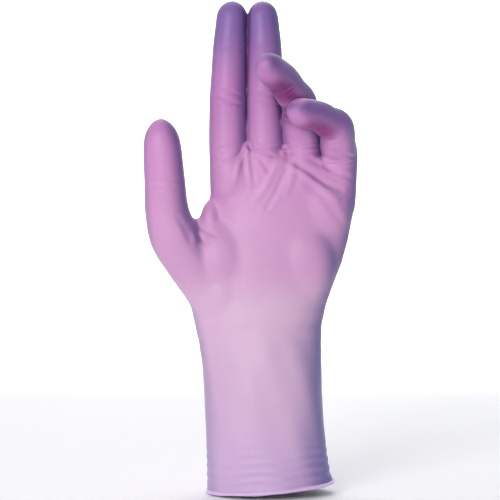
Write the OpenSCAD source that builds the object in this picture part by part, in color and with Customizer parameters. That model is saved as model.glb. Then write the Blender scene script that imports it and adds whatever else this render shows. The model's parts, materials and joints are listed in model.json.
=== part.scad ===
// Long-cuff dipped film glove for a left hand, holding the shape of the hand that wears it.
// The index and middle fingers stand straight up, and the ring and little fingers are half bent
// in front of the palm. The glove is hollow from its mouth to every fingertip.
//
// Frame: origin at the centre of the cuff mouth, +Z up towards the fingertips, palm towards -Y,
// thumb towards -X. Millimetres and degrees.
//
// A dipped glove is one film, so each node is one zone of it. Stalls, palm and cuff keep their
// shape. Folds are the short lengths of film between them, which bend with the joints.

/* [Film] */
// Thickness of the dipped film
film_t = 0.3; // [0.2:0.05:0.8]
// Gap between two zones that turn against each other
zone_gap = 0.3; // [0.2:0.05:0.6]

/* [Cuff] */
// Width of the cuff at its waist
cuff_w = 72; // [58:1:90]
// Depth of the cuff at its waist, from palm side to back
cuff_d = 52; // [40:1:66]
// How much wider than the waist the mouth flares
mouth_flare = 5.5; // [0:0.5:12]
// Height of the cuff from its mouth to the wrist fold
cuff_len = 82; // [60:1:160]
// Diameter of the rolled bead round the mouth
bead_d = 2.4; // [1.6:0.1:4]
// Slant of the mouth, rising towards +X
mouth_slant = 4.5; // [0:0.5:8]

/* [Wrist] */
// Width at the heel of the palm, where the wrist fold ends
heel_w = 84; // [68:1:100]
// Depth at the heel of the palm
heel_d = 42; // [34:1:52]
// Length of the wrist fold
wrist_fold_len = 30; // [24:1:40]

/* [Palm] */
// Height of the palm from the wrist fold to the knuckle line
palm_len = 75; // [62:1:90]
// Thickness at the knuckle line
knuckle_t = 28; // [22:0.5:36]
// Gap between neighbouring fingers at their roots
web_gap = 0.6; // [0.5:0.1:3]

/* [Fingers] */
// Diameter of the index finger at its root
index_d = 22.4; // [18:0.1:28]
// Diameter of the middle finger at its root
middle_d = 22.4; // [18:0.1:28]
// Diameter of the ring finger at its root
ring_d = 22.8; // [18:0.1:28]
// Diameter of the little finger at its root
little_d = 21.4; // [16:0.1:26]
// Length of the index finger from its root hinge to its tip
index_len = 86; // [70:1:104]
// Length of the middle finger from its root hinge to its tip
middle_len = 84; // [70:1:104]
// Length of the ring finger from its root hinge to its tip
ring_len = 75.5; // [62:1:94]
// Length of the little finger from its root hinge to its tip
little_len = 63.5; // [54:1:80]
// Length of film that bends at each finger joint
finger_fold = 11; // [8:0.5:12]

/* [Thumb] */
// Diameter of the thumb at its knuckle
thumb_d = 25; // [20:0.1:32]
// Length of the thumb from its root fold to its tip
thumb_len = 66; // [54:1:80]
// Length of film that bends at the root of the thumb
thumb_fold = 13; // [11:0.5:18]
// How far the root of the thumb stands out from the side of the palm
thumb_out = 18.4; // [14:0.1:24]

/* [Hidden] */

// Colours of the film
film_pink = "#cc92c2";
film_lilac = "#c7a6d2";
film_violet = "#9c7bb8";
fold_pink = "#b97db4";

cut = 1;          // how far a cutting shape runs past the face it opens
sheet = 0.2;      // thickness of the thin slices that the hulls stretch between
oval_n = 60;      // points round an oval section
disc_n = 36;      // sides of the folds and of the round slices inside a hull

// ---------------------------------------------------------------- frame of the hand

palm_z = cuff_len + wrist_fold_len;   // heel of the palm
knuckle_z = palm_z + palm_len;        // knuckle line
fold_y = -4;                          // finger roots lie a little in front of the cuff's middle
heel_x = -7.2;                        // middle of the heel

// Finger roots stand side by side, centred on the palm.
palm_mid = 8.1;
palm_w = index_d + middle_d + ring_d + little_d + 3 * web_gap;
palm_left = palm_mid - palm_w / 2;
index_x = palm_left + index_d / 2;
middle_x = index_x + (index_d + middle_d) / 2 + web_gap;
ring_x = middle_x + (middle_d + ring_d) / 2 + web_gap;
little_x = ring_x + (ring_d + little_d) / 2 + web_gap;
palm_right = palm_left + palm_w;

// Heights of the root hinges above the knuckle line
index_rise = 27;
middle_rise = 29;
ring_rise = 24;
little_rise = 16;

// Diameters at the middle hinge, the tip hinge and the fingertip, as shares of the root
straight_taper = [1, 0.98, 0.91, 0.75];
bent_taper = [1, 0.95, 0.85, 0.69];
// Shares of a finger's length from hinge to hinge; the rest is the rounded tip
straight_shares = [0.32, 0.34];
ring_shares = [0.36, 0.32];
little_shares = [0.38, 0.28];

// Direction of a segment that bends flex degrees towards the palm and leans side degrees to +X
function segment_dir(flex, side) = [sin(side), -sin(flex) * cos(side), cos(flex) * cos(side)];

// The hinge points of a finger: root, middle, tip hinge and the centre of the round fingertip
function finger_points(root, len, d, bends, taper, shares) =
    let (
        dirs = [for (b = bends) segment_dir(b[0], b[1])],
        tip_r = d * taper[3] / 2,
        l1 = len * shares[0],
        l2 = len * shares[1],
        l3 = len - l1 - l2 - tip_r,
        p1 = root + l1 * dirs[0],
        p2 = p1 + l2 * dirs[1]
    )
    [root, p1, p2, p2 + l3 * dirs[2]];

// Bends of each finger's three segments: [towards the palm, sideways]
index_bends = [[2, 0.5], [1, 2.5], [-1, 3.5]];
middle_bends = [[2, 0], [2, -0.5], [0, -3.5]];
ring_bends = [[24, -5], [52, -27], [73, -35]];
little_bends = [[43, -6], [62, -44], [88, -56]];

index_pts = finger_points(
    [index_x, fold_y, knuckle_z + index_rise], index_len, index_d, index_bends, straight_taper, straight_shares
);
middle_pts = finger_points(
    [middle_x, fold_y, knuckle_z + middle_rise], middle_len, middle_d, middle_bends, straight_taper, straight_shares
);
ring_pts = finger_points(
    [ring_x, fold_y, knuckle_z + ring_rise], ring_len, ring_d, ring_bends, bent_taper, ring_shares
);
little_pts = finger_points(
    [little_x, fold_y, knuckle_z + little_rise], little_len, little_d, little_bends, bent_taper, little_shares
);

// Diameters of each finger at its three hinges and its tip
index_ds = index_d * straight_taper;
middle_ds = middle_d * straight_taper;
ring_ds = ring_d * bent_taper;
little_ds = little_d * bent_taper;

// The thumb: its root fold lies between two parallel planes that slant down and out from the web
thumb_slant = segment_dir(8, -45);
thumb_up = segment_dir(8, -2);
thumb_rise = 39;
thumb_root_d = thumb_d * 1.25;
thumb_base_d = thumb_d * 1.3;
thumb_tip_r = thumb_d * 0.39;
thumb_a = [palm_left - thumb_out, -8, palm_z + thumb_rise];
thumb_b = thumb_a + thumb_fold * thumb_slant + [1.5, -0.5, 0.5];
thumb_knuckle = thumb_b + 0.42 * thumb_len * thumb_up;
thumb_end = thumb_b + (thumb_len - thumb_tip_r) * thumb_up;

// ---------------------------------------------------------------- shapes

function unit(v) = v / norm(v);
function mix(a, b, k) = a + (b - a) * k;
function power(v, e) = sign(v) * pow(abs(v), e);

// Turns +Z onto direction d
module along(d) {
    rotate([0, acos(d[2] / norm(d)), atan2(d[1], d[0])]) children();
}

// One thin round slice of a hull
module slice(centre, dir, d) {
    translate(centre) along(dir) cylinder(d = d, h = sheet, center = true, $fn = disc_n);
}

// A point of an oval section at angle a; fullness above 2 squares the oval a little
oval_full = 2.25;
function oval_point(w, d, a) = [
    w / 2 * power(cos(a), 2 / oval_full),
    d / 2 * power(sin(a), 2 / oval_full)
];
function oval_ring(section, grow) = [
    for (i = [0:oval_n - 1])
        let (p = oval_point(section[2] + 2 * grow, section[3] + 2 * grow, 360 * i / oval_n))
        [p[0] + section[1], p[1], section[0]]
];

// A closed skin through rings of equal length, whose last ring joins the first
module ring_skin(rings) {
    n = len(rings[0]);
    m = len(rings);
    points = [for (r = rings) for (p = r) p];
    faces = [
        for (j = [0:m - 1]) for (i = [0:n - 1])
            let (
                a = j * n + i,
                b = j * n + (i + 1) % n,
                c = ((j + 1) % m) * n + (i + 1) % n,
                d = ((j + 1) % m) * n + i
            )
            each [[a, d, c], [a, c, b]]
    ];
    polyhedron(points = points, faces = faces);
}

// A film tube through oval sections [z, middle x, width, depth], bottom to top
module film_sleeve(sections) {
    m = len(sections);
    outside = [for (s = sections) oval_ring(s, 0)];
    inside = [for (k = [m - 1:-1:0]) oval_ring(sections[k], -film_t)];
    ring_skin(concat(outside, inside));
}

// A straight film tube from p to q, tapering from d1 to d2
module film_tube(p, q, d1, d2) {
    h = norm(q - p);
    translate(p) along(q - p) rotate_extrude($fn = 64)
        polygon([[d1 / 2 - film_t, 0], [d1 / 2, 0], [d2 / 2, h], [d2 / 2 - film_t, h]]);
}

// A closed fingertip: a tube from p that tapers to the round end centred on q
module film_tip(p, q, d1, r2) {
    h = norm(q - p);
    translate(p) along(q - p) rotate_extrude($fn = 64) difference() {
        tip_outline(h, d1 / 2, r2, 0);
        tip_outline(h, d1 / 2 - film_t, r2 - film_t, cut);
    }
}
module tip_outline(h, r1, r2, below) {
    polygon([[0, -below], [r1, -below], [r1, 0], [r2, h], [0, h]]);
    translate([0, h]) intersection() {
        circle(r2, $fn = 64);
        square(r2);
    }
}

// The axis that a fold between two directions bends about
function fold_axis(dir1, dir2) =
    let (axis = cross(dir1, dir2))
    norm(axis) > 0.001 ? unit(axis) : unit(cross(dir1, [0, -1, 0]));

// A ring of points round a centre, square to dir, that starts on axis
function round_ring(centre, dir, axis, d) =
    let (side = cross(dir, axis))
    [for (i = [0:disc_n - 1]) let (a = 360 * i / disc_n) centre + d / 2 * (cos(a) * axis + sin(a) * side)];

// A fold: film stretched between two round rings, open at both
module film_fold(c1, dir1, d1, c2, dir2, d2) {
    axis = fold_axis(dir1, dir2);
    ring_skin([
        round_ring(c1, dir1, axis, d1),
        round_ring(c2, dir2, axis, d2),
        round_ring(c2, dir2, axis, d2 - 2 * film_t),
        round_ring(c1, dir1, axis, d1 - 2 * film_t)
    ]);
}

// ---------------------------------------------------------------- cuff and wrist

// Oval sections of the sleeve: [height, middle x, width, depth]
waist_x = -mouth_flare / 2; // the mouth flares towards +X only, about the middle of the frame
mouth = [bead_d / 2, 0, cuff_w + mouth_flare, cuff_d + mouth_flare * 0.8];
waist = [cuff_len * 0.6, waist_x, cuff_w, cuff_d];
heel = [palm_z, heel_x, heel_w, heel_d];
wrist_low = [cuff_len, mix(waist_x, heel_x, 0.4), mix(cuff_w, heel_w, 0.25), mix(cuff_d, heel_d, 0.35)];
wrist_mid = [
    cuff_len + wrist_fold_len / 2, mix(waist_x, heel_x, 0.62), mix(cuff_w, heel_w, 0.48), mix(cuff_d, heel_d, 0.7)
];

function at_height(section, z) = [z, section[1], section[2], section[3]];
function mix_section(a, b, k) = [for (i = [0:3]) mix(a[i], b[i], k)];

// The flare of the mouth dies out towards the waist as a quarter wave
function flare_section(s) = at_height(mix_section(mouth, waist, sin(90 * s)), waist[0] * s);

// The mouth slants: every point of its rings rises with x
function slanted(ring, middle_x) = [
    for (p = ring) [p[0], p[1], p[2] + (p[0] - middle_x) * tan(mouth_slant)]
];

module cuff_bead() {
    color(film_lilac) {
        sides = 12;
        path = [0, mouth[1], mouth[2] - film_t, mouth[3] - film_t];
        ring_skin([
            for (k = [0:sides - 1])
                let (
                    a = 360 * (k + 0.5) / sides,
                    ring = oval_ring(path, bead_d / 2 * cos(a)),
                    lift = bead_d / 2 * sin(a)
                )
                slanted([for (p = ring) [p[0], p[1], lift]], mouth[1])
        ]);
    }
}

module cuff() {
    bead_top = bead_d / 2 * sin(75);
    flare_steps = 6;
    flare = [for (k = [1:flare_steps]) flare_section(k / flare_steps)];
    top = [for (s = [0.35, 0.7]) mix_section(waist, wrist_low, s)];
    sections = concat(flare, top, [at_height(wrist_low, cuff_len - zone_gap / 2)]);
    m = len(sections);
    mouth_out = slanted(oval_ring(at_height(mouth, bead_top), 0), mouth[1]);
    mouth_in = slanted(oval_ring(at_height(mouth, bead_top), -film_t), mouth[1]);
    color(film_lilac)
        ring_skin(concat(
            [mouth_out],
            [for (s = sections) oval_ring(s, 0)],
            [for (k = [m - 1:-1:0]) oval_ring(sections[k], -film_t)],
            [mouth_in]
        ));
}

module wrist_fold() {
    color(fold_pink)
        film_sleeve([
            at_height(wrist_low, cuff_len + zone_gap / 2),
            mix_section(wrist_low, wrist_mid, 0.5),
            wrist_mid,
            mix_section(wrist_mid, heel, 0.5),
            at_height(heel, palm_z - zone_gap / 2)
        ]);
}

// ---------------------------------------------------------------- palm

// Slabs of the palm, bottom to top: [height, left, right, thickness, middle y]
function palm_slab(k, left, right, t, y) = [palm_z + palm_len * k, left, right, t, y];
palm_slabs = [
    palm_slab(0, heel_x - heel_w / 2, heel_x + heel_w / 2, heel_d, 0),
    palm_slab(0.28, heel_x - heel_w / 2, mix(heel_x + heel_w / 2, palm_right, 0.4), mix(heel_d, knuckle_t, 0.2), 0),
    palm_slab(0.64, palm_left - 7.5, palm_right - 3.5, mix(heel_d, knuckle_t, 0.6), -1.5),
    palm_slab(1, palm_left - 1, palm_right + 0.5, knuckle_t, -3)
];

module palm_plate(slab, grow) {
    section = [0, (slab[1] + slab[2]) / 2, slab[2] - slab[1], slab[3]];
    translate([0, slab[4], slab[0]]) linear_extrude(sheet)
        polygon([for (p = oval_ring(section, grow)) [p[0], p[1]]]);
}

// Where each finger's root fold stands on the palm, and the finger's diameter there
function fold_start(pts) = pts[0] - [0, 0, finger_fold / 2];
finger_roots = [
    [fold_start(index_pts), index_d], [fold_start(middle_pts), middle_d],
    [fold_start(ring_pts), ring_d], [fold_start(little_pts), little_d]
];

web_in = 1.6; // how much slimmer than the fingers the webs are

module knuckle_slice(root, grow) {
    slice([root[0][0], -3, knuckle_z - palm_len * 0.15], [0, 0, 1], root[1] + 2 + 2 * grow);
}

// The filled shape of the palm; grow is 0 outside and minus the film inside
module palm_form(grow) {
    drop = [0, 0, grow];
    last = len(palm_slabs) - 1;
    for (k = [0:last - 1]) hull() {
        translate(k == 0 ? drop : [0, 0, 0]) palm_plate(palm_slabs[k], grow);
        translate(k + 1 == last ? drop : [0, 0, 0]) palm_plate(palm_slabs[k + 1], grow);
    }
    // a stub for each finger, which grows out of the knuckle line
    for (root = finger_roots) hull() {
        slice(root[0] + drop, [0, 0, 1], root[1] + 2 * grow);
        knuckle_slice(root, grow);
    }
    // a web between each two fingers, level with the lower of their roots
    for (k = [0:2]) hull() {
        pair = [finger_roots[k], finger_roots[k + 1]];
        level = min(pair[0][0][2], pair[1][0][2]);
        for (root = pair) {
            slice([root[0][0], root[0][1], level] + drop, [0, 0, 1], root[1] - web_in + 2 * grow);
            knuckle_slice(root, grow - web_in);
        }
    }
    // the ball of the thumb
    hull() {
        slice([heel_x - heel_w / 2 + heel_d / 2, 0, palm_z + 3], [0, 0, 1], heel_d - 5 + 2 * grow);
        translate([palm_left + 6, -1, palm_z + palm_len * 0.55]) sphere(d = 28 + 2 * grow, $fn = 24);
        slice(thumb_a + grow * thumb_slant, thumb_slant, thumb_root_d + 2 * grow);
    }
}

module palm() {
    color(film_pink) difference() {
        palm_form(0);
        palm_form(-film_t);
        for (root = finger_roots) translate(root[0]) film_hole(root[1]);
        translate(thumb_a) along(thumb_slant) film_hole(thumb_root_d);
    }
}

// Opens the film over a stub, with a lip that is a hair narrower than the inside of the stub
module film_hole(d) {
    translate([0, 0, -3 * film_t]) cylinder(d = d - 2 * film_t - 0.12, h = 5 * film_t, $fn = disc_n);
}

// ---------------------------------------------------------------- fingers

// The fold at hinge k, from the zone below it to the zone above it
module finger_fold_at(pts, ds, k) {
    below = k == 0 ? [0, 0, 1] : unit(pts[k] - pts[k - 1]);
    above = unit(pts[k + 1] - pts[k]);
    reach = finger_fold / 2 - zone_gap;
    color(fold_pink) film_fold(pts[k] - reach * below, below, ds[k], pts[k] + reach * above, above, ds[k]);
}

// The stall between hinge k and hinge k + 1
module finger_stall_at(pts, ds, k) {
    dir = unit(pts[k + 1] - pts[k]);
    reach = finger_fold / 2;
    film_tube(pts[k] + reach * dir, pts[k + 1] - reach * dir, ds[k], ds[k + 1]);
}

// The closed tip above the last hinge
module finger_tip_at(pts, ds) {
    dir = unit(pts[3] - pts[2]);
    film_tip(pts[2] + finger_fold / 2 * dir, pts[3], ds[2], ds[3] / 2);
}

module index_root_fold() { finger_fold_at(index_pts, index_ds, 0); }
module index_stall() { color(film_pink) finger_stall_at(index_pts, index_ds, 0); }
module index_middle_fold() { finger_fold_at(index_pts, index_ds, 1); }
module index_middle_stall() { color(film_pink) finger_stall_at(index_pts, index_ds, 1); }
module index_tip_fold() { finger_fold_at(index_pts, index_ds, 2); }
module index_tip() { color(film_pink) finger_tip_at(index_pts, index_ds); }

module middle_root_fold() { finger_fold_at(middle_pts, middle_ds, 0); }
module middle_stall() { color(film_pink) finger_stall_at(middle_pts, middle_ds, 0); }
module middle_middle_fold() { finger_fold_at(middle_pts, middle_ds, 1); }
module middle_middle_stall() { color(film_violet) finger_stall_at(middle_pts, middle_ds, 1); }
module middle_tip_fold() { finger_fold_at(middle_pts, middle_ds, 2); }
module middle_tip() { color(film_violet) finger_tip_at(middle_pts, middle_ds); }

module ring_root_fold() { finger_fold_at(ring_pts, ring_ds, 0); }
module ring_stall() { color(film_pink) finger_stall_at(ring_pts, ring_ds, 0); }
module ring_middle_fold() { finger_fold_at(ring_pts, ring_ds, 1); }
module ring_middle_stall() { color(film_violet) finger_stall_at(ring_pts, ring_ds, 1); }
module ring_tip_fold() { finger_fold_at(ring_pts, ring_ds, 2); }
module ring_tip() { color(film_violet) finger_tip_at(ring_pts, ring_ds); }

module little_root_fold() { finger_fold_at(little_pts, little_ds, 0); }
module little_stall() { color(film_pink) finger_stall_at(little_pts, little_ds, 0); }
module little_middle_fold() { finger_fold_at(little_pts, little_ds, 1); }
module little_middle_stall() { color(film_violet) finger_stall_at(little_pts, little_ds, 1); }
module little_tip_fold() { finger_fold_at(little_pts, little_ds, 2); }
module little_tip() { color(film_violet) finger_tip_at(little_pts, little_ds); }

// ---------------------------------------------------------------- thumb

thumb_fold_reach = finger_fold / 2;

module thumb_root_fold() {
    color(fold_pink)
        film_fold(
            thumb_a + zone_gap * thumb_slant, thumb_slant, thumb_root_d,
            thumb_b - zone_gap * thumb_slant, thumb_slant, thumb_base_d
        );
}

module thumb_stall() {
    top = thumb_knuckle - thumb_fold_reach * thumb_up;
    color(film_pink) film_fold(thumb_b, thumb_slant, thumb_base_d, top, thumb_up, thumb_d);
}

module thumb_knuckle_fold() {
    reach = thumb_fold_reach - zone_gap;
    color(fold_pink)
        film_fold(
            thumb_knuckle - reach * thumb_up, thumb_up, thumb_d,
            thumb_knuckle + reach * thumb_up, thumb_up, thumb_d
        );
}

module thumb_tip() {
    color(film_pink)
        film_tip(thumb_knuckle + thumb_fold_reach * thumb_up, thumb_end, thumb_d, thumb_tip_r);
}

// ---------------------------------------------------------------- nodes

cuff_bead();
cuff();
wrist_fold();
palm();
thumb_root_fold();
thumb_stall();
thumb_knuckle_fold();
thumb_tip();
index_root_fold();
index_stall();
index_middle_fold();
index_middle_stall();
index_tip_fold();
index_tip();
middle_root_fold();
middle_stall();
middle_middle_fold();
middle_middle_stall();
middle_tip_fold();
middle_tip();
ring_root_fold();
ring_stall();
ring_middle_fold();
ring_middle_stall();
ring_tip_fold();
ring_tip();
little_root_fold();
little_stall();
little_middle_fold();
little_middle_stall();
little_tip_fold();
little_tip();
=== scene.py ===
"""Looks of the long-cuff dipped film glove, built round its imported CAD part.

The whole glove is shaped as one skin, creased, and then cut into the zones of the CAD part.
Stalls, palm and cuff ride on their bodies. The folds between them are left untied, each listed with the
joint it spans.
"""

import json
import math

import bpy
import numpy as np
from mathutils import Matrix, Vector

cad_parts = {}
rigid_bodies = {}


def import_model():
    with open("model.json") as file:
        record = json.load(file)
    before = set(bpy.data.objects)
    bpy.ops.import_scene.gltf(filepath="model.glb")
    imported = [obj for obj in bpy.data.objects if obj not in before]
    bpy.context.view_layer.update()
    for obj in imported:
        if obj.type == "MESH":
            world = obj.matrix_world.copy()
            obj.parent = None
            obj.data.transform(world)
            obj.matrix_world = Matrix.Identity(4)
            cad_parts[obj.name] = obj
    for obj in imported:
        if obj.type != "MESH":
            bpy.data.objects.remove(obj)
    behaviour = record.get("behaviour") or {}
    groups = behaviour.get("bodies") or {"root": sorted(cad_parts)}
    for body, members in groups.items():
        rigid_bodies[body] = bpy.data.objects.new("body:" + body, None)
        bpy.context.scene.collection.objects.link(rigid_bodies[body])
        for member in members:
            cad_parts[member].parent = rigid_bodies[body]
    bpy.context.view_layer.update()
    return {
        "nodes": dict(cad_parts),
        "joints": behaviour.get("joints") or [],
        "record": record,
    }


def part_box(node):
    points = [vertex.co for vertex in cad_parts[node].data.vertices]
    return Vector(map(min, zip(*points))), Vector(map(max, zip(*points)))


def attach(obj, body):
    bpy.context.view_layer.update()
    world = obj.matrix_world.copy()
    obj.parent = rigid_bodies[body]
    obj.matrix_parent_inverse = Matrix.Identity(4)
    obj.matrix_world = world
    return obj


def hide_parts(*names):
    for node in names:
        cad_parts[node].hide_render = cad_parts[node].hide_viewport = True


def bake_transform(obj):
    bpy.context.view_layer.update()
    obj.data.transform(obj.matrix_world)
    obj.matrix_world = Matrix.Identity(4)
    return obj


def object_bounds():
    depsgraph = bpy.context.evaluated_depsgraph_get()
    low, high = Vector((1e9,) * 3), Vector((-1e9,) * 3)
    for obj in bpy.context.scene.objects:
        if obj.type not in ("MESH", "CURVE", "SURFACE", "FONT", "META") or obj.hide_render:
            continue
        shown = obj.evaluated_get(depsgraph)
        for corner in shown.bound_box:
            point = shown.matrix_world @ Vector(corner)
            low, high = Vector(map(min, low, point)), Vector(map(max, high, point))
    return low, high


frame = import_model()
bpy.ops.object.select_all(action="DESELECT")

MM = 0.001
FILM = 0.3 * MM  # thickness of the dipped film
HINGE_SET = 5 * MM  # hinges lie this far to the palm side of a finger's middle line
FOLD_HALF = 5.5 * MM  # half the length of film that bends at a finger joint
SLIM = 0.8 * MM  # the form is made this much slimmer, then puffed out again
LEAST_RADIUS = 0.3 * MM  # of a limb's end
GRAIN = 0.85 * MM  # size of the quads of the skin
UP = Vector((0, 0, 1))
FINGERS = ("index", "middle", "ring", "little")
HINGES = {j["name"]: j for j in frame["joints"]}

ROOT_FOLD = 9 * MM  # film that bends at a finger's root, where the palm reaches past the hinge
KNUCKLE_FOLD_HALF = 6.5 * MM  # half the length of film that bends at the thumb's knuckle
THUMB_FOLD = (4.4 * MM, 9.5 * MM)  # film that bends before and after the thumb's root
THUMB_SIDE = -43.5 * MM  # no thumb on the inner side of this x
BELOW_ROOT = 12 * MM  # a finger's line starts this far below its root hinge
FINGER_REACH = 17 * MM  # film farther than this from a finger's line isn't the finger's
FINGERS_ABOVE = 190 * MM  # no finger below this height
WEB_BELOW = 225 * MM  # webs are looked for below this height

wrist_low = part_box("wrist_fold")[0].z
heel_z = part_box("wrist_fold")[1].z
MOUTH_SLANT = math.tan(math.radians(4.5))  # rise of the mouth across the cuff


# ---------------------------------------------------------------- small tools


def pick_only(obj):
    """Leaves this object selected and active, and no other."""
    bpy.ops.object.select_all(action="DESELECT")
    obj.select_set(True)
    bpy.context.view_layer.objects.active = obj


def apply(obj, kind, **values):
    """Adds a modifier with these values and applies it."""
    pick_only(obj)
    modifier = obj.modifiers.new(kind.lower(), kind)
    for key, value in values.items():
        setattr(modifier, key, value)
    bpy.ops.object.modifier_apply(modifier=modifier.name)


def read(items, what, width=1, kind=float):
    """One property of all items of a mesh, as an array with width columns."""
    values = np.empty(len(items) * width, kind)
    items.foreach_get(what, values)
    return values.reshape(-1, width) if width > 1 else values


def ramp(x, low, high):
    """0 below low, 1 above high, smooth between."""
    t = np.clip((x - low) / (high - low), 0, 1)
    return t * t * (3 - 2 * t)


def tube(name, places, thick, rounding, closed=False):
    """A round tube along the places, [x, y, z, share of the thickness], as a mesh."""
    data = bpy.data.curves.new(name, "CURVE")
    data.dimensions = "3D"
    data.bevel_depth = thick
    data.bevel_resolution = rounding
    data.use_fill_caps = not closed
    spline = data.splines.new("POLY")
    spline.points.add(len(places) - 1)
    spline.use_cyclic_u = closed
    for point, (x, y, z, share) in zip(spline.points, places):
        point.co = (x, y, z, 1)
        point.radius = share
    made = bpy.data.objects.new(name, data)
    bpy.context.scene.collection.objects.link(made)
    pick_only(made)
    bpy.ops.object.convert(target="MESH")
    return bpy.context.object


# ---------------------------------------------------------------- middle lines of the fingers


def hinge(name):
    return Vector(HINGES[name]["pos_m"])


def far_point(node, start):
    """The point of a CAD node that lies farthest from start."""
    places = (v.co.copy() for v in frame["nodes"][node].data.vertices)
    return max(places, key=lambda place: (place - start).length)


def finger_line(finger):
    """Middle line of a finger: root, middle and tip hinge, and the end of the tip."""
    hinges = [hinge(f"{finger}_{k}") for k in ("root", "middle", "tip")]
    end = far_point(f"{finger}_tip", hinges[2])
    ways = [UP] + [(b - a).normalized() for a, b in zip(hinges, hinges[1:] + [end])]
    palm_side = -1 if finger in ("ring", "little") else 1
    points = []
    for k, name in enumerate(("root", "middle", "tip")):
        axis = Vector(HINGES[f"{finger}_{name}"]["axis"]) * palm_side
        points.append(hinges[k] - HINGE_SET * axis.cross((ways[k] + ways[k + 1]).normalized()))
    return points + [end]


LINES = {finger: finger_line(finger) for finger in FINGERS}
thumb_end = far_point("thumb_tip", hinge("thumb_knuckle"))
thumb_up = (thumb_end - hinge("thumb_knuckle")).normalized()
thumb_knuckle = hinge("thumb_knuckle") + HINGE_SET * Vector(HINGES["thumb_knuckle"]["axis"]).cross(thumb_up)
thumb_root = hinge("thumb_root")
THUMB_SLANT = Vector((-0.703, -0.098, 0.704)).normalized()  # the way the thumb leaves the palm


# ---------------------------------------------------------------- the form, made solid and slim


def smooth_path(points, radii, step):
    """A curve through the points, with its radius, as dense samples."""
    pts = np.array([list(p) + [r] for p, r in zip(points, radii)])
    ext = np.vstack([2 * pts[0] - pts[1], pts, 2 * pts[-1] - pts[-2]])
    out = []
    for k in range(1, len(ext) - 2):
        p0, p1, p2, p3 = ext[k - 1 : k + 3]
        n = max(2, int(np.linalg.norm(p2[:3] - p1[:3]) / step))
        for t in np.linspace(0, 1, n, endpoint=False):
            bow = (2 * p0 - 5 * p1 + 4 * p2 - p3) * t * t
            twist = (3 * p1 - p0 - 3 * p2 + p3) * t**3
            out.append(0.5 * (2 * p1 + (p2 - p0) * t + bow + twist))
    out.append(pts[-1])
    return np.array(out)


def limb(name, points, radii, dome):
    """A closed round limb along the points, ending in a dome that is dome metres long."""
    path = smooth_path(points, radii, 1.2 * MM)
    run = np.concatenate([[0], np.cumsum(np.linalg.norm(np.diff(path[:, :3], axis=0), axis=1))])
    left = run[-1] - run
    k = np.clip(1 - left / dome, 0, 1)
    path[:, 3] *= np.sqrt(np.maximum(1 - k**2.1, 1e-4))
    path[:, 3] = np.maximum(path[:, 3] - SLIM, LEAST_RADIUS)
    return tube(name, path, 1.0, 10)


def sleeve(name, stations):
    """A closed upright form, extruded ring by ring: [height, middle x, width, middle y, depth] in mm."""
    rings = [
        (z * MM, x * MM, w * MM - 2 * SLIM, y * MM, d * MM - 2 * SLIM) for z, x, w, y, d in stations
    ]
    z, x, w, y, d = rings[0]
    bpy.ops.mesh.primitive_circle_add(vertices=80, radius=0.5, fill_type="NGON", location=(x, y, z))
    made = bpy.context.object
    made.name = name
    bpy.ops.object.mode_set(mode="EDIT")
    bpy.ops.mesh.select_all(action="SELECT")
    bpy.ops.transform.resize(value=(w, d, 1), center_override=(x, y, z))
    for z1, x1, w1, y1, d1 in rings[1:]:
        move = (x1 - x, y1 - y, z1 - z)
        bpy.ops.mesh.extrude_region_move(TRANSFORM_OT_translate={"value": move})
        bpy.ops.transform.resize(value=(w1 / w, d1 / d, 1), center_override=(x1, y1, z1))
        z, x, w, y, d = z1, x1, w1, y1, d1
    bpy.ops.mesh.select_all(action="SELECT")
    bpy.ops.mesh.normals_make_consistent(inside=False)
    bpy.ops.object.mode_set(mode="OBJECT")
    bpy.ops.object.transform_apply(location=True, rotation=True, scale=True)
    return made


def pad(name, middle, size):
    """A soft swelling under the film: an oval ball. Middle and size in mm."""
    bpy.ops.mesh.primitive_uv_sphere_add(
        segments=32, ring_count=20, radius=0.5, location=[v * MM for v in middle]
    )
    made = bpy.context.object
    made.name = name
    made.scale = [v * MM - 2 * SLIM for v in size]
    bpy.ops.object.transform_apply(location=True, rotation=True, scale=True)
    return made


# Sleeve of the cuff and the palm: [height, middle x, width, middle y, depth], in mm
SLEEVE = [
    (-9, 0.8, 80.5, 0, 58),
    (0, 0.4, 79, 0, 57),
    (8, -1.2, 76.4, 0, 55),
    (20, -2.4, 74.8, 0, 53.4),
    (38, -3.1, 73.4, 0, 52.4),
    (60, -3.9, 73.2, 0, 51.6),
    (78, -4.7, 74.4, 0.3, 49),
    (90, -5.8, 76.4, 0.6, 46.5),
    (100, -7.2, 79.4, 0.8, 44.6),
    (112, -7.2, 84.5, 0.6, 43),
    (124, -5.8, 90, 0, 41.6),
    (138, -1.8, 93, -0.6, 39.6),
    (152, 2.4, 92.6, -1.2, 36.8),
    (166, 6.6, 89.6, -1.8, 33.4),
    (180, 8.3, 91, -2.4, 30),
    (192, 8.5, 91.4, -3.2, 27),
    (202, 8.9, 88, -3.9, 23.5),
]
form = [sleeve("form_sleeve", SLEEVE)]

RADII = {  # of a finger at the palm, root, mid, middle hinge, mid, tip hinge, pad, in mm
    "index": (11.9, 11.75, 11.7, 11.5, 11.1, 10.8, 9.9),
    "middle": (11.9, 11.75, 11.6, 11.5, 11.1, 10.7, 9.8),
    "ring": (12.2, 12.0, 11.5, 11.2, 10.3, 10.0, 9.2),
    "little": (12.0, 11.7, 11.0, 10.7, 9.8, 9.5, 8.7),
}
BASES = {  # where a finger starts in the palm, in mm
    "index": (-25.4, -3, 180),
    "middle": (-2.6, -3.2, 182),
    "ring": (20.2, -3, 178),
    "little": (41.2, -2.4, 172),
}


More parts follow.
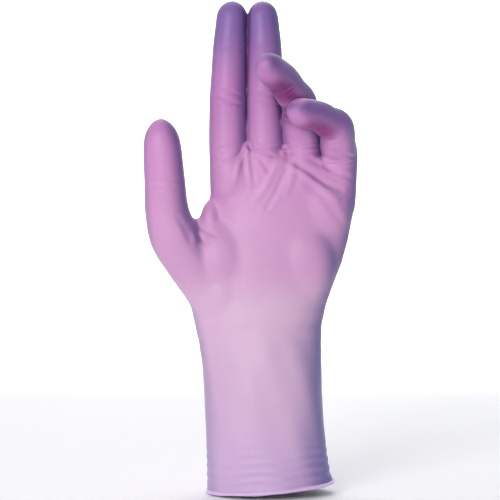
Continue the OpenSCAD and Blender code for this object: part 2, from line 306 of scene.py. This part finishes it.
def finger_form(finger):
    a, b, c, end = LINES[finger]
    tip_pad = c + (end - c) * 0.62
    stops = [Vector(BASES[finger]) * MM, a, (a + b) / 2, b, (b + c) / 2, c, tip_pad, end]
    radii = [r * MM for r in RADII[finger]] + [RADII[finger][-1] * 0.97 * MM]
    return limb(f"form_{finger}", stops, radii, 10.5 * MM)


form += [finger_form(finger) for finger in FINGERS]


def thumb_form():
    """The thumb, from the heel of the hand to its tip."""
    heel = [(-30, -1, 104), (-37.5, -2.6, 121), (-43.9, -4.2, 131), (-50.6, -6.2, 141)]
    stops = [Vector(place) * MM for place in heel] + [
        thumb_root + Vector((0.5, 0, -0.5)) * MM,
        thumb_root.lerp(thumb_knuckle, 0.45) + Vector((-1.4, 0, 0)) * MM,
        thumb_knuckle,
        thumb_knuckle.lerp(thumb_end, 0.42),
        thumb_knuckle.lerp(thumb_end, 0.74),
        thumb_end,
    ]
    radii = [r * MM for r in (14, 15, 15.3, 15.5, 15.6, 13.8, 12.8, 12.2, 10.9, 9.6)]
    return limb("form_thumb", stops, radii, 14 * MM)


form.append(thumb_form())
form += [
    pad("ball_of_thumb", (-30, -3.6, 138), (42, 34, 58)),
    pad("ball_of_thumb_low", (-29, -2.4, 120), (36, 36, 34)),
    pad("outer_pad", (20, -3.8, 142), (44, 34, 60)),
    pad("outer_pad_top", (33, -4.8, 174), (38, 27, 46)),
    pad("index_pad", (-22, -5.0, 192), (27, 23, 34)),
    pad("middle_pad", (0, -5.0, 193), (26, 23, 34)),
    pad("ring_pad", (21, -5.2, 190), (28, 24, 34)),
    pad("thumb_web", (-45, -4.2, 152), (22, 22, 28)),
    pad("index_side", (-36.5, -4.0, 162), (14, 20, 32)),
    pad("index_web", (-14.6, -4.4, 203), (12, 19, 22)),
    pad("middle_web", (8.6, -4.4, 201), (12, 19, 22)),
    pad("ring_web", (31.6, -4.8, 193), (13, 20, 24)),
]

bpy.ops.object.select_all(action="DESELECT")
for part in form:
    part.select_set(True)
bpy.context.view_layer.objects.active = form[0]
bpy.ops.object.join()
skin = bpy.context.object
skin.name = "skin"
apply(skin, "REMESH", mode="VOXEL", voxel_size=GRAIN, use_smooth_shade=True)
apply(skin, "SMOOTH", factor=0.5, iterations=6)


def points_of(obj):
    return read(obj.data.vertices, "co", 3)


def normals_of(obj):
    return read(obj.data.vertices, "normal", 3)


def put(obj, co):
    obj.data.vertices.foreach_set("co", co.ravel())
    obj.data.update()


def group(obj, name, weights, levels=20):
    """A vertex group with these weights, rounded to a number of levels."""
    made = obj.vertex_groups.new(name=name)
    rounded = np.round(weights * levels).astype(int)
    for level in range(1, levels + 1):
        made.add([int(v) for v in np.nonzero(rounded == level)[0]], level / levels, "REPLACE")


# The palm, the webs and the wrist are softened a lot, the fingers a little.
co = points_of(skin)
soft = ramp(co[:, 2], 86 * MM, 104 * MM) * (1 - ramp(co[:, 2], 199 * MM, 209 * MM))
soft *= 1 - 0.75 * ramp(-co[:, 0], 52 * MM, 62 * MM) * ramp(co[:, 2], 160 * MM, 172 * MM)
group(skin, "soft", soft)
apply(skin, "SMOOTH", factor=0.5, iterations=70, vertex_group="soft")
apply(skin, "SMOOTH", factor=0.5, iterations=6)
apply(skin, "DISPLACE", strength=SLIM, mid_level=0, direction="NORMAL")
apply(skin, "SMOOTH", factor=0.5, iterations=2)


# ---------------------------------------------------------------- folds and creases in the film


def stroke_distance(co, stroke):
    """Distance of every point to a stroke drawn on the palm side, and how far along it lies."""
    flat = co[:, (0, 2)]
    best = np.full(len(co), 1e9)
    along = np.zeros(len(co))
    pts = np.array(stroke, float) * MM
    lengths = np.linalg.norm(np.diff(pts, axis=0), axis=1)
    total, run = lengths.sum(), 0.0
    for a, b, length in zip(pts, pts[1:], lengths):
        t = np.clip(((flat - a) @ (b - a)) / length**2, 0, 1)
        dist = np.linalg.norm(flat - a - t[:, None] * (b - a), axis=1)
        near = dist < best
        best[near] = dist[near]
        along[near] = (run + t[near] * length) / total
        run += length
    return best, along


def crease(co, no, stroke, depth, width):
    """Presses a groove with two soft shoulders into the palm side, or a ridge if depth is negative."""
    dist, along = stroke_distance(co, stroke)
    facing = ramp(-no[:, 1], 0.05, 0.45)
    fade = np.sin(math.pi * np.clip(0.08 + 0.84 * along, 0, 1)) ** 0.6
    x = dist / (width * MM)
    shape = np.exp(-x * x) - 0.45 * np.exp(-((x - 1.9) ** 2) / 0.8)
    return co - no * (depth * MM * shape * fade * facing)[:, None]


# Strokes on the palm side: [points (x, z), depth, width], in mm
PALM_STROKES = [
    ([(-14, 209), (-19, 199), (-21.5, 187)], -0.5, 1.5),
    ([(-14, 209), (-13.5, 198), (-12, 185)], -0.55, 1.4),
    ([(-13.5, 208), (-7, 199), (-1.5, 190)], -0.4, 1.4),
    ([(-16, 207), (-24, 201), (-33, 198)], 0.5, 1.1),
    ([(-13.5, 209.5), (-6, 206), (2, 204)], 0.75, 1.0),
    ([(-17, 211), (-24, 208.5), (-33, 208)], 0.45, 1.1),
    ([(-12, 211.5), (-4, 209), (6, 210)], 0.5, 1.0),
    ([(-35, 239), (-26, 236.6), (-17, 235)], 0.55, 1.1),
    ([(-35, 243.5), (-26, 243), (-17, 240.5)], 0.4, 1.0),
    ([(-12.5, 241.5), (-3, 240.5), (5, 241.5)], 0.5, 1.1),
    ([(-12.5, 236.5), (-4, 235), (4, 236)], 0.55, 1.1),
    ([(-33, 270), (-25, 268.8), (-17, 269.8)], 0.35, 1.2),
    ([(-12, 270), (-4, 269), (4, 270)], 0.35, 1.2),
    ([(7, 206), (3, 196), (-3, 184), (-9, 176)], -0.45, 1.9),
    ([(11, 205), (9, 194), (4, 182), (-2, 172)], 0.45, 1.6),
    ([(14, 203), (14, 192), (10, 180)], -0.4, 1.7),
    ([(12, 201), (22, 195), (34, 187), (43, 183)], 0.65, 1.7),
    ([(14, 197), (24, 190), (34, 182), (41, 177)], -0.45, 1.8),
    ([(24, 202), (32, 198), (42, 193), (50, 190)], 0.5, 1.5),
    ([(22, 186), (30, 180), (38, 171), (44, 162)], 0.35, 2.2),
    ([(-46, 163), (-40, 158), (-33, 155)], 0.4, 1.4),
    ([(-47, 160), (-41, 153), (-36, 147)], 0.4, 1.5),
    ([(-48, 166), (-46, 158), (-46, 150)], -0.35, 1.5),
    ([(-56, 166), (-52, 160), (-49, 152)], 0.3, 1.6),
    ([(-36, 176), (-27, 168), (-20, 156), (-17, 140), (-18, 124)], 0.15, 3.6),
    ([(-30, 118), (-12, 112.5), (8, 112), (24, 116)], 0.2, 2.8),
    ([(-76, 189), (-66, 187), (-55, 189)], 0.35, 1.3),
    ([(-76, 185), (-66, 183), (-55, 185)], 0.3, 1.3),
    ([(33, 208), (42, 204.5), (52, 203)], 0.5, 1.2),
]
co, no = points_of(skin), normals_of(skin)
for stroke, depth, width in PALM_STROKES:
    co = crease(co, no, stroke, depth, width)


def joint_creases(co, no, joint, before, after):
    """Three creases on the inner side of a bent joint, the middle one deepest."""
    way_in, way_out = (joint - before).normalized(), (after - joint).normalized()
    way = (way_in + way_out).normalized()
    inner = way_in.cross(way_out).normalized().cross(way)
    rel = co - np.array(joint)
    along = rel @ np.array(way)
    near = np.linalg.norm(rel, axis=1) < 15 * MM
    side = ramp(no @ np.array(inner), 0.1, 0.7)
    for offset, depth in ((-2.6, 0.45), (0.2, 0.9), (3.0, 0.4)):
        dent = np.exp(-(((along - offset * MM) / (0.9 * MM)) ** 2))
        co = co - no * (depth * MM * dent * side * near)[:, None]
    return co


for finger in ("ring", "little"):
    a, b, c, end = LINES[finger]
    for joint, before, after in ((a, a - UP * 20 * MM, b), (b, a, c), (c, b, end)):
        co = joint_creases(co, no, joint, before, after)


def cuff_slack(co):
    """Soft ripples above the bead, broad slack waves in the cuff, and fine ones at the wrist, in mm."""
    z = co[:, 2] / MM
    turn = np.arctan2(co[:, 1], co[:, 0] + 2.5 * MM)
    low = (1 - ramp(z, 14, 34)) * ramp(z, 1.0, 4)
    ripple = low * 0.22 * np.sin(z * 1.15 + 1.3 * np.sin(2 * turn) + 0.8 * np.sin(5 * turn + 1))
    broad = 0.35 * np.sin(3 * turn + z / 17) + 0.25 * np.sin(5 * turn - z / 23 + 1.1)
    slack = (1 - ramp(z, 82, 104)) * (broad + 0.16 * np.sin(9 * turn + z / 9))
    wrist = np.exp(-(((z - 97) / 13) ** 2)) * (0.1 * np.sin(z * 0.55 + 1.8 * np.sin(turn * 2)))
    return ripple + slack + wrist


def back_waves(co, no):
    """Shallow waves across the back of the hand, in mm."""
    x, z = co[:, 0] / MM, co[:, 2] / MM
    back = ramp(no[:, 1], 0.1, 0.6) * ramp(z, 118, 140) * (1 - ramp(z, 196, 206))
    return back * 0.35 * np.sin(x / 7.3 + 0.5 * np.sin(z / 11))


lift = cuff_slack(co) + back_waves(co, no)
put(skin, co + no * (lift * MM)[:, None])
apply(skin, "SMOOTH", factor=0.35, iterations=1)

# The mouth is cut open on its slant.
bpy.ops.object.mode_set(mode="EDIT")
bpy.ops.mesh.select_all(action="SELECT")
bpy.ops.mesh.bisect(
    plane_co=(0, 0, 0.4 * MM), plane_no=Vector((-MOUTH_SLANT, 0, 1)).normalized(), clear_inner=True
)
bpy.ops.object.mode_set(mode="OBJECT")

# The skin keeps the smooth normals of the whole glove when it is cut up.
co, no = points_of(skin), normals_of(skin)
whole = skin.data.attributes.new("whole_normal", "FLOAT_VECTOR", "POINT")
whole.data.foreach_set("vector", no.ravel())


# ---------------------------------------------------------------- zones


def web_height(left, right):
    """Height of the web between two fingers' roots.

    Where the two fingers touch above it, this gives the highest place that it searches.
    """
    middle = (LINES[left][0].x + LINES[right][0].x) / 2
    between = (abs(co[:, 0] - middle) < 1.2 * MM) & (abs(co[:, 1] + 4 * MM) < 7 * MM)
    heights = np.sort(co[between & (co[:, 2] < WEB_BELOW), 2])
    gaps = np.nonzero(np.diff(heights) > 3 * MM)[0]
    return heights[gaps[0]] if len(gaps) else heights[-1]


def line_place(points):
    """For every vertex: run along the line of points to its nearest place, and its distance."""
    best = np.full(len(co), 1e9)
    run_at = np.zeros(len(co))
    run = 0.0
    for a, b in zip(points, points[1:]):
        a, b = np.array(a), np.array(b)
        length = np.linalg.norm(b - a)
        t = np.clip(((co - a) @ (b - a)) / length**2, 0, 1)
        dist = np.linalg.norm(co - a - t[:, None] * (b - a), axis=1)
        near = dist < best
        best[near], run_at[near] = dist[near], run + t[near] * length
        run += length
    return run_at, best


zone_at = np.zeros(len(co), int)  # 0 is the palm
ZONES = ["palm"]
FOLDS = {}  # zone: (body before, body after, start, end)


def passed(start, end):
    """0 before start, between 0 and 1 inside, 1 past end."""
    start, way = np.array(start), np.array(end) - np.array(start)
    return np.clip(((co - start) @ way) / (way @ way), 0, 1)


def add_fold(node, joint, start, end):
    data = HINGES[joint]
    FOLDS[node] = (data["parent"], data["child"], tuple(start), tuple(end))
    return passed(start, end)


def step(part, fold):
    """The zone's number: fold - 1 before the fold, fold in it, fold + 1 past it."""
    return np.where(part <= 0, fold - 1, np.where(part < 1, fold, fold + 1))


def finger_zones(n, finger):
    """Root fold, stall, middle fold, middle stall, tip fold and tip of one finger."""
    a, b, c, end = LINES[finger]
    way1, way2, way3 = (b - a).normalized(), (c - b).normalized(), (end - c).normalized()
    m1, m2, m3 = (UP + way1).normalized(), (way1 + way2).normalized(), (way2 + way3).normalized()
    top = max(webs[max(n - 1, 0) : n + 1]) + 1.0 * MM
    first = max(a.z - FOLD_HALF, top)
    start = a + m1 * ((first - a.z) / m1.z)
    stop = a + m1 * max(FOLD_HALF, first - a.z + ROOT_FOLD)
    half = FOLD_HALF - (0.5 * MM if finger == "little" else 0)
    t1 = add_fold(f"{finger}_root_fold", f"{finger}_root", start, stop)
    t2 = add_fold(f"{finger}_middle_fold", f"{finger}_middle", b - m2 * half, b + m2 * half)
    t3 = add_fold(f"{finger}_tip_fold", f"{finger}_tip", c - m3 * half, c + m3 * half)
    run = places[finger][0] - BELOW_ROOT
    to_middle, to_tip = (b - a).length, (b - a).length + (c - b).length
    mine = (nearest == n) & (places[finger][1] < FINGER_REACH)
    mine &= (co[:, 2] > FINGERS_ABOVE) & (run > 1 * MM - BELOW_ROOT)
    past_first = np.where(run < (to_middle + to_tip) / 2, step(t2, 2), step(t3, 4))
    code = np.where(run < to_middle / 2, step(t1, 0), past_first)
    base = len(ZONES)
    ZONES.extend(
        f"{finger}_{part}"
        for part in ("root_fold", "stall", "middle_fold", "middle_stall", "tip_fold", "tip")
    )
    mine &= code >= 0
    zone_at[mine] = base + code[mine]


def thumb_zones():
    """Root fold, stall, knuckle fold and tip of the thumb."""
    before, after = THUMB_FOLD
    t1 = add_fold(
        "thumb_root_fold",
        "thumb_root",
        thumb_root - THUMB_SLANT * before,
        thumb_root + THUMB_SLANT * after,
    )
    reach = thumb_up * KNUCKLE_FOLD_HALF
    t2 = add_fold("thumb_knuckle_fold", "thumb_knuckle", thumb_knuckle - reach, thumb_knuckle + reach)
    mine = (co[:, 0] < THUMB_SIDE) & (t1 > 0)
    code = np.where(t1 < 1, 0, step(t2, 2))
    zone_at[mine] = len(ZONES) + code[mine]
    ZONES.extend(["thumb_root_fold", "thumb_stall", "thumb_knuckle_fold", "thumb_tip"])


def wrist_zones():
    """The wrist's fold and the cuff take what is left below the palm."""
    t = add_fold("wrist_fold", "wrist_bend", (0, 0, wrist_low), (0, 0, heel_z))
    zone_at[(zone_at == 0) & (t < 1)] = len(ZONES)
    zone_at[t <= 0] = len(ZONES) + 1
    ZONES.extend(["wrist_fold", "cuff"])


places = {f: line_place([LINES[f][0] - UP * BELOW_ROOT] + LINES[f]) for f in FINGERS}
nearest = np.argmin(np.array([places[f][1] for f in FINGERS]), axis=0)
webs = [web_height(a, b) for a, b in zip(FINGERS, FINGERS[1:])]
for n, finger in enumerate(FINGERS):
    finger_zones(n, finger)
thumb_zones()
wrist_zones()


# ---------------------------------------------------------------- painted shade and painted highlights of the film

PAINTED_TIP_HIGHLIGHTS = ((-5.8, 256.0), (16.0, 236.6))  # (x, z) in mm: painted highlights, where the painted shade is lifted over the two bent tips


def painted_violet_shade():
    """Painted shade that darkens the film to deeper violet: on the outer side, away from the key light, over
    bent knuckles, and along the inner edge.
    """
    # painted shade on the sides that turn away from the key light, stronger to the right
    tone = ramp(no @ np.array((0.90, 0.30, 0.32)), -0.12, 0.72)
    tone *= 0.8 + 0.2 * ramp(co[:, 0], 10 * MM, 40 * MM)
    # painted shade over the knuckles of the bent ring and little fingers
    bent = np.isin(nearest, (2, 3)) & (zone_at > 0) & (co[:, 2] > 212 * MM)
    bent &= (co[:, 0] > -14 * MM) & (co[:, 1] < -9 * MM)
    knuckle_up = ramp(no @ np.array((0.45, 0.15, 0.88)), -0.8, 0.25)
    tone = np.maximum(tone, bent * knuckle_up * 0.78)
    # painted highlights: the painted shade is lifted round two spots on the bent tips
    for spot in PAINTED_TIP_HIGHLIGHTS:
        away = np.linalg.norm(co[:, (0, 2)] - np.array(spot) * MM, axis=1)
        tone *= 1 - 0.85 * bent * (1 - ramp(away, 2.5 * MM, 8 * MM))
    # a thin painted dark line of shade along the inner, left edge
    return np.maximum(tone, ramp(-no[:, 0], 0.62, 1.0) * 0.45)


def painted_pink_shade():
    """Painted shade that darkens the film to deeper pink: in the gaps between fingers and inside their bent
    joints.
    """
    second = np.sort(np.array([places[f][1] for f in FINGERS]), axis=0)[1]
    # painted shade in the gaps between fingers
    in_gap = (1 - ramp(second, 11.8 * MM, 14.6 * MM)) * (zone_at > 0) * (co[:, 0] > -43 * MM)
    # painted shade in the hollows of the bent ring and little joints, on their sides that face down
    toward = ramp(no @ np.array((-0.35, -0.25, -0.9)), 0.1, 0.8)
    hollow = np.zeros(len(co))
    for joint in LINES["ring"][1:3] + LINES["little"][2:3]:
        away = np.linalg.norm(co - np.array(joint), axis=1)
        hollow = np.maximum(hollow, toward * (1 - ramp(away, 11 * MM, 19 * MM)))
    return np.clip(np.maximum(in_gap * 0.8, hollow), 0, 1)


# the painted shade masks go on the skin as attributes, which the film's material reads
for name, values in (("painted_outer_shade", painted_violet_shade()), ("painted_gap_shade", painted_pink_shade())):
    tone = skin.data.attributes.new(name, "FLOAT", "POINT")
    tone.data.foreach_set("value", values.astype(np.float32))


def mark_faces(mesh):
    """Writes each face's zone. One that touches a fold is the fold's, so seams lie where it stands still."""
    is_fold = np.array([zone.endswith("fold") for zone in ZONES])
    starts = read(mesh.polygons, "loop_start", kind=int)
    totals = read(mesh.polygons, "loop_total", kind=int)
    corners = read(mesh.loops, "vertex_index", kind=int)
    face_zone = np.empty(len(mesh.polygons), np.int32)
    for i, (start, total) in enumerate(zip(starts, totals)):
        codes = zone_at[corners[start : start + total]]
        folds = codes[is_fold[codes]]
        face_zone[i] = folds[0] if len(folds) else codes.max()
    marker = mesh.attributes.new("zone", "INT", "FACE")
    marker.data.foreach_set("value", face_zone)


mark_faces(skin.data)


# ---------------------------------------------------------------- the film's material


def add_node(tree, kind, sockets=None, **values):
    """A shader node with these values, and numbers on its sockets."""
    node = tree.nodes.new(kind)
    for key, value in values.items():
        setattr(node, key, value)
    for key, value in (sockets or {}).items():
        node.inputs[key].default_value = value
    return node


def film_shader(tree, gloss):
    sockets = {
        "Specular IOR Level": 0.42,
        "IOR": 1.48,
        "Sheen Weight": 0.22,
        "Sheen Roughness": 0.5,
        "Sheen Tint": (0.93, 0.80, 1.0, 1),
        "Coat Weight": gloss,
        "Coat Roughness": 0.42,
        "Subsurface Weight": 0.12,
        "Subsurface Radius": (1.0, 0.45, 0.8),
        "Subsurface Scale": 0.002,
    }
    return add_node(tree, "ShaderNodeBsdfPrincipled", sockets)


def height_tint(tree, place, tints):
    """The height on the glove picks the tint."""
    split = add_node(tree, "ShaderNodeSeparateXYZ")
    tree.links.new(place, split.inputs[0])
    height = add_node(tree, "ShaderNodeMapRange", {"From Min": 0, "From Max": 0.3})
    tree.links.new(split.outputs["Z"], height.inputs["Value"])
    tint = add_node(tree, "ShaderNodeValToRGB")
    tint.color_ramp.interpolation = "EASE"
    stops = tint.color_ramp.elements
    while len(stops) < len(tints):
        stops.new(0.5)
    for stop, (where, colour) in zip(stops, tints):
        stop.position = where
        stop.color = colour + (1,)
    tree.links.new(height.outputs[0], tint.inputs[0])
    return tint.outputs[0]


def shaded(tree, colour, where, shade):
    """The colour, multiplied by a shade as far as where says."""
    mix = add_node(tree, "ShaderNodeMix", data_type="RGBA", blend_type="MULTIPLY")
    mix.inputs["B"].default_value = shade + (1,)
    tree.links.new(where, mix.inputs["Factor"])
    tree.links.new(colour, mix.inputs["A"])
    return mix.outputs["Result"]


def cloud(tree, place, scale, detail):
    made = add_node(tree, "ShaderNodeTexNoise", {"Scale": scale, "Detail": detail})
    tree.links.new(place, made.inputs["Vector"])
    return made.outputs["Fac"]


def uneven_film(tree, place, colour):
    """Thin and thick places of the film, large and small."""
    for scale, detail, low, high, shade, share in (
        (14, 2, 0.35, 0.7, (0.93, 0.86, 1.0), 0.35),
        (55, 4, 0.4, 0.75, (1.07, 0.95, 1.04), 0.35),
        (420, 3, 0.45, 0.7, (0.93, 0.9, 0.96), 0.25),
    ):
        limits = {"From Min": low, "From Max": high, "To Max": share}
        amount = add_node(tree, "ShaderNodeMapRange", limits)
        tree.links.new(cloud(tree, place, scale, detail), amount.inputs["Value"])
        colour = shaded(tree, colour, amount.outputs[0], shade)
    return colour


def varied_satin(tree, place, rough):
    """Roughness of the film, a little different from patch to patch."""
    dull = add_node(tree, "ShaderNodeMapRange", {"To Min": rough - 0.07, "To Max": rough + 0.09})
    tree.links.new(cloud(tree, place, 90, 5), dull.inputs["Value"])
    return dull.outputs[0]


def film_relief(tree, place, wrinkle):
    """The fine skin of the former that the film was dipped on, and faint wrinkles."""
    relief = None
    for scale, depth, stretch in (
        (1500, 0.00002, (1, 1, 1)),
        (260, 0.00007 * wrinkle, (1, 1, 1.6)),
        (75, 0.00022 * wrinkle, (1, 1, 0.55)),
    ):
        drawn = add_node(tree, "ShaderNodeMapping", {"Scale": stretch})
        tree.links.new(place, drawn.inputs["Vector"])
        bump = add_node(tree, "ShaderNodeBump", {"Strength": 0.6, "Distance": depth})
        tree.links.new(cloud(tree, drawn.outputs[0], scale, 3), bump.inputs["Height"])
        if relief:
            tree.links.new(relief, bump.inputs["Normal"])
        relief = bump.outputs[0]
    return relief


def film_material(name, rough, gloss, wrinkle, tints):
    """Dipped film: tinted by height, darker towards the fingertops partly as painted shade, mottled,
    darkened by the painted shade attributes of the skin, satin and faintly wrinkled.
    """
    made = bpy.data.materials.new(name)
    made.use_nodes = True
    tree = made.node_tree
    tree.nodes.clear()
    film = film_shader(tree, gloss)
    place = add_node(tree, "ShaderNodeTexCoord").outputs["Object"]
    colour = uneven_film(tree, place, height_tint(tree, place, tints))
    # painted shade, multiplied in as far as each attribute says
    for tone, shade in PAINTED_SHADES.items():
        where = add_node(tree, "ShaderNodeAttribute", attribute_name=tone)
        colour = shaded(tree, colour, where.outputs["Fac"], shade)
    tree.links.new(colour, film.inputs["Base Color"])
    tree.links.new(varied_satin(tree, place, rough), film.inputs["Roughness"])
    tree.links.new(film_relief(tree, place, wrinkle), film.inputs["Normal"])
    out = add_node(tree, "ShaderNodeOutputMaterial")
    tree.links.new(film.outputs[0], out.inputs[0])
    return made


PAINTED_SHADES = {"painted_outer_shade": (0.20, 0.25, 0.52), "painted_gap_shade": (0.48, 0.16, 0.40)}  # painted shade attribute: the colour it multiplies in
TINTS = [  # share of the height of 0.3 m, and the film's colour there, with painted shade darkening it towards the top of the fingers
    (0.0, (0.58, 0.40, 0.63)),
    (0.24, (0.60, 0.40, 0.58)),
    (0.36, (0.63, 0.41, 0.58)),
    (0.46, (0.57, 0.30, 0.51)),
    (0.66, (0.55, 0.25, 0.49)),
    # the darkest stops are partly painted shade over the tops of the fingers
    (0.80, (0.46, 0.19, 0.44)),
    (0.97, (0.21, 0.115, 0.35)),
]
BEAD_TINTS = [(0, (0.68, 0.52, 0.76)), (1, (0.66, 0.50, 0.74))]
MATERIALS = {
    slot: film_material(name, *looks)
    for slot, (name, *looks) in {
        "palm_film": ("pink film over the palm", 0.44, 0.10, 1.0, TINTS),
        "cuff_film": ("lilac film of the cuff", 0.42, 0.14, 1.1, TINTS),
        "finger_film": ("mauve film of the stalls", 0.44, 0.10, 1.0, TINTS),
        "tip_film": ("violet film of the tips", 0.42, 0.14, 0.9, TINTS),
        "fold_film": ("creased film of the folds", 0.45, 0.10, 1.2, TINTS),
        "bead_film": ("rolled film of the bead", 0.4, 0.2, 1.0, BEAD_TINTS),
    }.items()
}


# ---------------------------------------------------------------- cutting the skin into its zones

SLOTS = {part["node"]: part["material_slot"] for part in frame["record"]["subparts"]}
BODIES = frame["record"]["behaviour"]["bodies"]
BODY_OF = {node: body for body, nodes in BODIES.items() for node in nodes}


def select_zone(obj, zone):
    """Selects the faces of one zone, and says whether there are any."""
    data = obj.data
    picked = read(data.attributes["zone"].data, "value", kind=np.int32) == zone
    data.vertices.foreach_set("select", np.zeros(len(data.vertices), bool))
    data.edges.foreach_set("select", np.zeros(len(data.edges), bool))
    data.polygons.foreach_set("select", picked)
    return picked.any()


def cut_out(zone):
    """Separates one zone from the skin as its own piece."""
    pick_only(skin)
    bpy.ops.object.mode_set(mode="EDIT")
    bpy.ops.mesh.select_mode(type="FACE")
    bpy.ops.mesh.select_all(action="DESELECT")
    bpy.ops.object.mode_set(mode="OBJECT")
    if not select_zone(skin, zone):
        raise RuntimeError(f"the skin has no zone {ZONES[zone]}")
    before = set(bpy.data.objects)
    bpy.ops.object.mode_set(mode="EDIT")
    bpy.ops.mesh.separate(type="SELECTED")
    bpy.ops.object.mode_set(mode="OBJECT")
    made = (set(bpy.data.objects) - before).pop()
    made.name = f"{ZONES[zone]}_film"
    return made


RIM = 0.35  # cosine between a face and the skin, below which the face is the film's cut edge


def give_film(piece):
    """Gives the piece its film thickness, and the normals of the whole skin."""
    apply(piece, "SOLIDIFY", thickness=FILM, offset=-1, use_rim=True, use_even_offset=False)
    data = piece.data
    saved = read(data.attributes["whole_normal"].data, "vector", 3)
    normals = saved[read(data.loops, "vertex_index", kind=int)]
    totals = read(data.polygons, "loop_total", kind=int)
    face_normals = np.repeat(read(data.polygons, "normal", 3), totals, axis=0)
    facing = np.einsum("ij,ij->i", normals, face_normals)[:, None]
    # the outside gets the skin's normals, the inside their opposite, the rim keeps its own
    inside = np.where(facing < -RIM, -normals, 0)
    data.normals_split_custom_set(np.where(facing > RIM, normals, inside).tolist())


def finish_piece(piece, node):
    """Gives the piece its material, and ties it to its body; a fold is left untied, with its transform
    baked, and its joint is listed in FOLDS.
    """
    slot = SLOTS[node]
    piece.data.materials.clear()
    piece.data.materials.append(MATERIALS[slot])
    if node in FOLDS:
        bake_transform(piece)
    else:
        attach(piece, BODY_OF[node])
    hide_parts(node)


for zone, node in enumerate(ZONES[1:], start=1):
    piece = cut_out(zone)
    give_film(piece)
    finish_piece(piece, node)
skin.name = "palm_film"
give_film(skin)
finish_piece(skin, "palm")


# ---------------------------------------------------------------- rolled bead of the mouth


def rolled_bead():
    """The film rolled up into a bead round the mouth, a little uneven."""
    z, x, w, y, d = SLEEVE[1]
    count = 180
    places = []
    for k in range(count):
        a = 2 * math.pi * k / count
        px = (x + (w / 2 - 0.5) * math.cos(a)) * MM
        py = (y + (d / 2 - 0.5) * math.sin(a)) * MM
        lift = 0.12 * math.sin(5 * a + 0.6) + 0.08 * math.sin(11 * a)
        share = 1 + 0.07 * math.sin(7 * a + 1) + 0.05 * math.sin(17 * a)
        places.append((px, py, px * MOUTH_SLANT + (0.1 + lift) * MM, share))
    made = tube("cuff_bead_roll", places, 1.15 * MM, 7, closed=True)
    bpy.ops.object.shade_smooth()
    return made


finish_piece(rolled_bead(), "cuff_bead")


# ---------------------------------------------------------------- stage, light and camera


def plain(name, colour, rough):
    made = bpy.data.materials.new(name)
    made.use_nodes = True
    shader = made.node_tree.nodes["Principled BSDF"]
    shader.inputs["Base Color"].default_value = colour + (1,)
    shader.inputs["Roughness"].default_value = rough
    return made


def curved_floor(name, floor_z):
    """A floor that rises into a wall behind the glove in one soft curve."""
    bpy.ops.object.select_all(action="DESELECT")
    bpy.ops.mesh.primitive_grid_add(
        x_subdivisions=2, y_subdivisions=2, size=1, location=(0, 0.4, floor_z)
    )
    made = bpy.context.object
    made.name = name
    made.scale = (6, 4, 1)
    bpy.ops.object.transform_apply(location=True, scale=True)
    bpy.ops.object.mode_set(mode="EDIT")
    bpy.ops.mesh.select_all(action="DESELECT")
    bpy.ops.object.mode_set(mode="OBJECT")
    back_edge_y = 2.3
    for edge in made.data.edges:
        edge.select = all(made.data.vertices[v].co.y > back_edge_y for v in edge.vertices)
    bpy.ops.object.mode_set(mode="EDIT")
    bpy.ops.mesh.select_mode(type="EDGE")
    bpy.ops.mesh.extrude_region_move(TRANSFORM_OT_translate={"value": (0, 0.35, 0.25)})
    bpy.ops.mesh.extrude_region_move(TRANSFORM_OT_translate={"value": (0, 0.1, 2.6)})
    bpy.ops.object.mode_set(mode="OBJECT")
    apply(made, "BEVEL", width=0.3, segments=10, limit_method="ANGLE")
    bpy.ops.object.shade_smooth()
    return made


floor = curved_floor("floor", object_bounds()[0].z - 0.2 * MM)
floor.data.materials.append(plain("pale floor", (0.93, 0.93, 0.94), 0.75))


def softbox(name, place, aim, size, power, colour):
    light = bpy.data.lights.new(name, "AREA")
    light.shape = "RECTANGLE"
    light.size, light.size_y = size
    light.energy = power
    light.color = colour
    made = bpy.data.objects.new(name, light)
    bpy.context.scene.collection.objects.link(made)
    made.location = place
    made.rotation_euler = (Vector(aim) - Vector(place)).to_track_quat("-Z", "Y").to_euler()


AIM = (-0.005, 0, 0.16)
softbox("key", (-0.6, -1.15, 0.62), AIM, (0.6, 0.6), 10.0, (1.0, 0.985, 0.97))
softbox("front", (-0.15, -1.5, 0.2), AIM, (0.8, 0.8), 3.2, (1, 1, 1))
softbox("edge", (0.9, 0.35, 0.5), AIM, (0.3, 0.8), 0.9, (0.72, 0.78, 1.0))
softbox("sky", (0, 0.9, 1.6), (0, 0.9, 0), (1.6, 1.2), 12, (1, 1, 1))
softbox("back wall", (0, 1.3, 1.3), (0, 2.6, 0.6), (2.4, 0.8), 60, (1, 1, 1))

world = bpy.context.scene.world or bpy.data.worlds.new("studio")
bpy.context.scene.world = world
world.use_nodes = True
studio = world.node_tree.nodes["Background"]
studio.inputs["Color"].default_value = (0.95, 0.96, 1.0, 1)
studio.inputs["Strength"].default_value = 0.38
bpy.context.scene.view_settings.view_transform = "Standard"

SENSOR = 36  # millimetres
CAMERA_DISTANCE = 0.9
VIEW_WIDTH = 0.3103  # width of the view at the glove
lens = bpy.data.cameras.new("camera")
lens.sensor_width = SENSOR
lens.lens = SENSOR * CAMERA_DISTANCE / VIEW_WIDTH
camera = bpy.data.objects.new("camera", lens)
bpy.context.scene.collection.objects.link(camera)
camera.location = (-12.3 * MM, -CAMERA_DISTANCE, 146.3 * MM)
camera.rotation_euler = (math.radians(90), 0, 0)
bpy.context.scene.camera = camera
